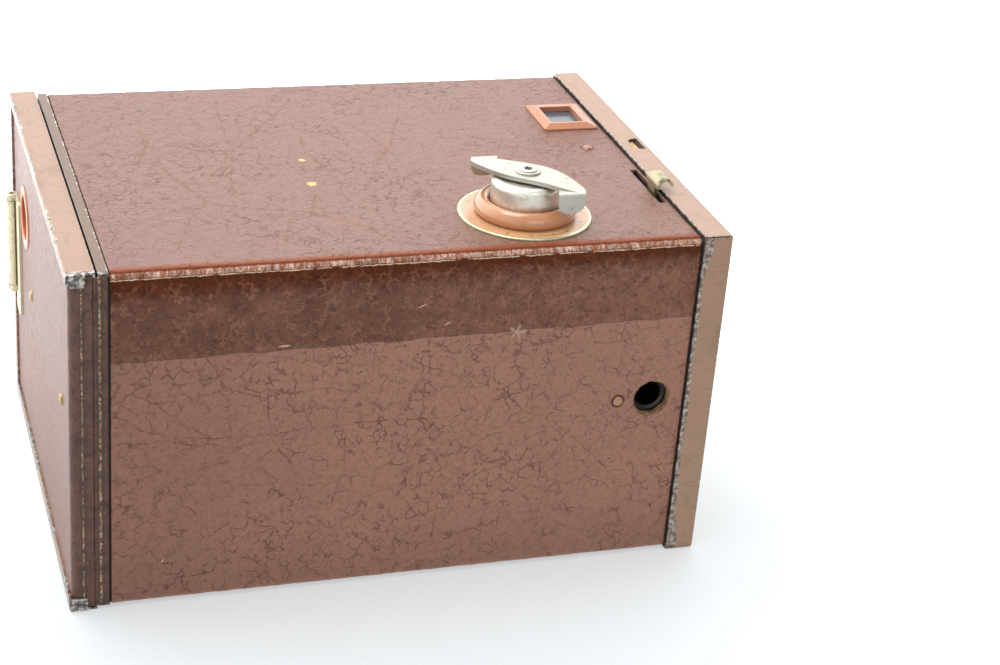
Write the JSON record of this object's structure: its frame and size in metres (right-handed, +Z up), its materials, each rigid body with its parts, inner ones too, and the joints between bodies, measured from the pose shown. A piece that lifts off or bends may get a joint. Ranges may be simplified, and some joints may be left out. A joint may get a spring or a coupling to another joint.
{
  "type": "box camera",
  "caption": "Leatherette-covered box camera for roll film, lying on its left side, with winding key, hinged back, sliding and turning controls, finders and strap.",
  "frame": {"origin": "bottom centre of the overall box; the camera lies on its left side with the winding key up", "axes": "+X from the hinged back to the lens, +Y from the camera's own bottom to its own top, +Z up out of the winding-key side"},
  "size_m": [0.1534, 0.1128, 0.0932],
  "materials": {
    "box_card": "matte black-painted card",
    "leatherette": "grained imitation leather, worn at the edges",
    "tan_enamel": "semi-gloss tan enamel, worn",
    "nickel": "aged nickel plate",
    "brass": "dull brass",
    "black_metal": "matte black paint",
    "bare_steel": "dull spring steel",
    "carrier_wood": "black-stained wood",
    "spool_wood": "plain wood core with black sheet flanges",
    "clear_glass": "clear glass",
    "frosted_glass": "blue-grey ground glass",
    "red_film": "red celluloid",
    "red_enamel": "orange-red enamel",
    "mirror_glass": "polished",
    "strap_leather": "smooth leather",
    "hinge_cloth": "leatherette on cloth, creased"
  },
  "bodies": {
    "camera_body": {"body_box": "box_card", "body_covering": "leatherette", "body_rivets": "brass", "bottom_tripod_plate": "bare_steel", "carrier_lower_side": "carrier_wood", "carrier_upper_side": "carrier_wood", "front_board": "carrier_wood", "front_covering": "leatherette", "front_frame": "tan_enamel", "handle_strap": "strap_leather", "handle_studs": "nickel", "hinge_cloth": "hinge_cloth", "key_collar": "tan_enamel", "key_cup": "nickel", "key_plate": "brass", "key_spring": "bare_steel", "latch_catch": "nickel", "lens_cell": "black_metal", "lens_ring": "nickel", "light_cone": "black_metal", "meniscus_lens": "clear_glass", "rear_binding": "tan_enamel", "shutter_pivots": "brass", "shutter_plate": "black_metal", "shutter_spring": "bare_steel", "side_finder_bezel": "tan_enamel", "side_finder_glass": "frosted_glass", "side_finder_housing": "black_metal", "side_finder_mirror": "mirror_glass", "side_finder_objective": "clear_glass", "side_tripod_plate": "bare_steel", "slide_guide": "black_metal", "spool_pins": "bare_steel", "top_finder_bezel": "tan_enamel", "top_finder_glass": "frosted_glass", "top_finder_housing": "black_metal", "top_finder_mirror": "mirror_glass", "top_finder_objective": "clear_glass"},
    "back": {"back_panel": "box_card", "back_frame": "tan_enamel", "back_covering": "leatherette", "red_window_rim": "red_enamel", "red_window_disc": "red_film", "back_leaf_spring": "bare_steel", "back_rivets": "brass", "latch_base": "nickel", "latch_pin": "bare_steel"},
    "clasp": {"latch_clasp": "nickel"},
    "spool": {"take_up_spool": "spool_wood"},
    "feed_roller": {"feed_roller": "nickel"},
    "take_up_roller": {"take_up_roller": "nickel"},
    "key_slider": {"key_washer": "bare_steel"},
    "key": {"key_shaft": "nickel", "key_wing": "nickel"},
    "shutter_lever": {"shutter_lever": "nickel"},
    "shutter_disc": {"shutter_disc": "black_metal"},
    "stop_slide": {"stop_slide": "nickel"},
    "time_slide": {"time_slide": "brass"},
    "handle_rear": {"handle_rear_clip": "nickel"},
    "handle_front": {"handle_front_clip": "nickel"}
  },
  "joints": [
    {"name": "back_hinge", "type": "hinge", "parent": "camera_body", "child": "back", "pos_m": [-0.06775, -0.05615, 0.0413], "axis": [0, 0, 1], "range_deg": [0, 160], "deforming": ["hinge_cloth"]},
    {"name": "clasp_hinge", "type": "hinge", "parent": "back", "child": "clasp", "pos_m": [-0.07525, 0.04115, 0.04645], "axis": [0, 0, 1], "range_deg": [0, 120]},
    {"name": "key_pull", "type": "slide", "parent": "camera_body", "child": "key_slider", "axis": [0, 0, 1], "range_m": [0, 0.006], "stiffness_N_per_m": 300, "springref_m": -0.004, "deforming": ["key_spring"]},
    {"name": "key_spin", "type": "hinge", "parent": "key_slider", "child": "key", "pos_m": [0.03105, -0.03695, 0.08], "axis": [0, 0, 1], "continuous": true},
    {"name": "spool_spin", "type": "hinge", "parent": "camera_body", "child": "spool", "pos_m": [0.03105, -0.03695, 0.0413], "axis": [0, 0, 1], "continuous": true},
    {"name": "feed_roller_spin", "type": "hinge", "parent": "camera_body", "child": "feed_roller", "pos_m": [-0.06315, 0.04255, 0.0413], "axis": [0, 0, 1], "continuous": true},
    {"name": "take_up_roller_spin", "type": "hinge", "parent": "camera_body", "child": "take_up_roller", "pos_m": [-0.06315, -0.04815, 0.0413], "axis": [0, 0, 1], "continuous": true},
    {"name": "lever_pivot", "type": "hinge", "parent": "camera_body", "child": "shutter_lever", "pos_m": [0.06565, -0.02635, 0.04], "axis": [-1, 0, 0], "range_deg": [0, 13.5], "deforming": ["shutter_spring"]},
    {"name": "disc_spin", "type": "hinge", "parent": "camera_body", "child": "shutter_disc", "pos_m": [0.0639, -0.00285, 0.0298], "axis": [-1, 0, 0], "range_deg": [0, 94.5]},
    {"name": "stop_slide_pull", "type": "slide", "parent": "camera_body", "child": "stop_slide", "axis": [0, 1, 0], "range_m": [0, 0.017]},
    {"name": "time_slide_pull", "type": "slide", "parent": "camera_body", "child": "time_slide", "axis": [0, 0, 1], "range_m": [0, 0.005]},
    {"name": "strap_rear_slide", "type": "slide", "parent": "camera_body", "child": "handle_rear", "axis": [1, 0, 0], "range_m": [0, 0.005], "deforming": ["handle_strap"]},
    {"name": "strap_front_slide", "type": "slide", "parent": "camera_body", "child": "handle_front", "axis": [-1, 0, 0], "range_m": [0, 0.005]}
  ],
  "couplings": [
    {"joint": "spool_spin", "follows": "key_spin", "ratio": 1},
    {"joint": "disc_spin", "follows": "lever_pivot", "ratio": 6.963},
    {"joint": "strap_front_slide", "follows": "strap_rear_slide", "ratio": 1}
  ]
}
